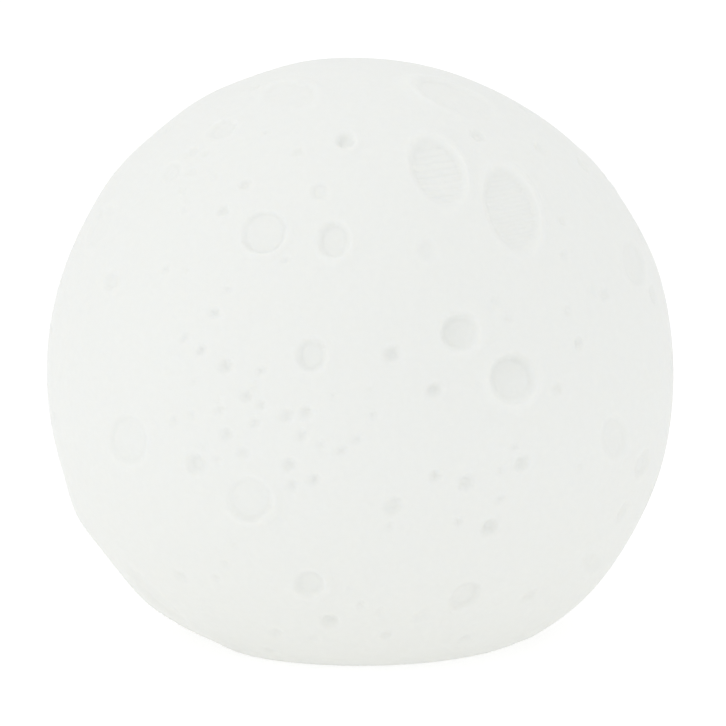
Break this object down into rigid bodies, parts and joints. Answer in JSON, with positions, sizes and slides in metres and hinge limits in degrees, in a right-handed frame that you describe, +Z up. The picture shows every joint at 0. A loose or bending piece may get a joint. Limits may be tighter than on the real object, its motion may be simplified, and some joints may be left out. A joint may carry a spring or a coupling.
{
  "type": "moon lamp",
  "caption": "Small table lamp: a soft white moon globe with moulded craters and a flat underside, over a battery base with LED, slide switch and screwed battery door.",
  "frame": {"origin": "centre of the flat underside that the lamp stands on", "axes": "+Z up, -Y towards the side with the two ribbed oval craters, +X to the right seen from there"},
  "size_m": [0.08, 0.08, 0.0732],
  "materials": {
    "globe_vinyl": "soft white vinyl, satin, slightly translucent",
    "base_plastic": "white moulded plastic, fine grain",
    "knob_plastic": "black moulded plastic",
    "board": "green solder resist",
    "lens_epoxy": "clear moulded epoxy, gloss",
    "tinned_metal": "tinned, satin",
    "nickel_plate": "nickel-plated, bright",
    "cell_steel": "polished steel can",
    "screw_steel": "zinc-plated",
    "brown_laminate": "brown laminate",
    "resistor_lacquer": "beige lacquer",
    "red_insulation": "red insulation",
    "black_insulation": "black insulation"
  },
  "bodies": {
    "base": {"moon_shell": "globe_vinyl", "base_housing": "base_plastic", "top_cover": "base_plastic", "cover_screws": "screw_steel", "circuit_board": "board", "led_lens": "lens_epoxy", "led_leads": "tinned_metal", "resistor": "resistor_lacquer", "resistor_leads": "tinned_metal", "button_cell_1": "cell_steel", "button_cell_2": "cell_steel", "button_cell_3": "cell_steel", "contact_plate": "nickel_plate", "contact_leaf": "nickel_plate", "switch_frame": "tinned_metal", "switch_base": "brown_laminate", "switch_terminals": "tinned_metal", "wire_red": "red_insulation", "wire_black": "black_insulation"},
    "slider": {"switch_slider": "knob_plastic", "switch_contact": "nickel_plate"},
    "door": {"battery_door": "base_plastic", "door_screws": "screw_steel"}
  },
  "joints": [
    {"name": "switch_slide", "type": "slide", "parent": "base", "child": "slider", "axis": [1, 0, 0], "range_m": [0, 0.002]},
    {"name": "door_off", "type": "slide", "parent": "base", "child": "door", "axis": [0, 0, -1], "range_m": [0, 0.012]}
  ]
}
